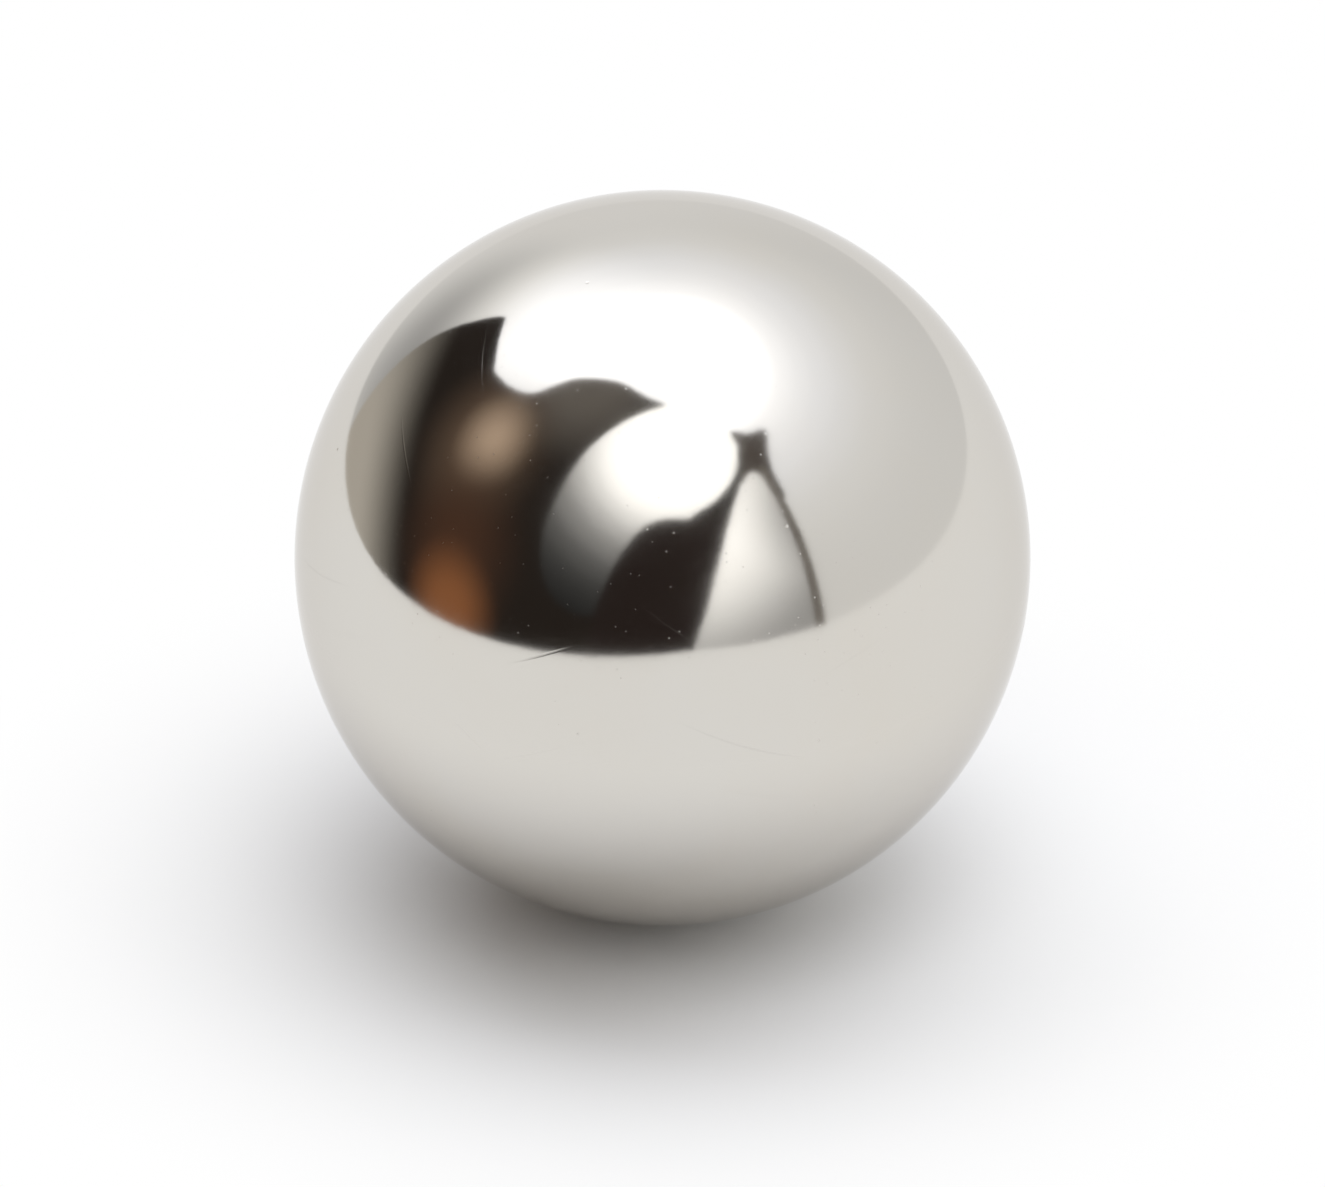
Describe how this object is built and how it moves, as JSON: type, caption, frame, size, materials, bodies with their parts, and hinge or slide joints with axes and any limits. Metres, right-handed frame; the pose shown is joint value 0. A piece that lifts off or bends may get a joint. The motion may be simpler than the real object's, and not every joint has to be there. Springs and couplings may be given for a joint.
{
  "type": "sphere magnet",
  "caption": "Small solid ball magnet with a mirror-bright nickel finish. Its magnetic poles grip steel or other magnets, and it rolls freely.",
  "frame": {"origin": "centre of the ball", "axes": "+Z along the magnetic axis, towards the north pole; X and Y are any two directions square to it"},
  "size_m": [0.005, 0.005, 0.005],
  "materials": {
    "nickel_plating": "mirror-bright nickel plating, slightly warm"
  },
  "bodies": {
    "root": {"magnet_ball": "nickel_plating"}
  },
  "joints": []
}
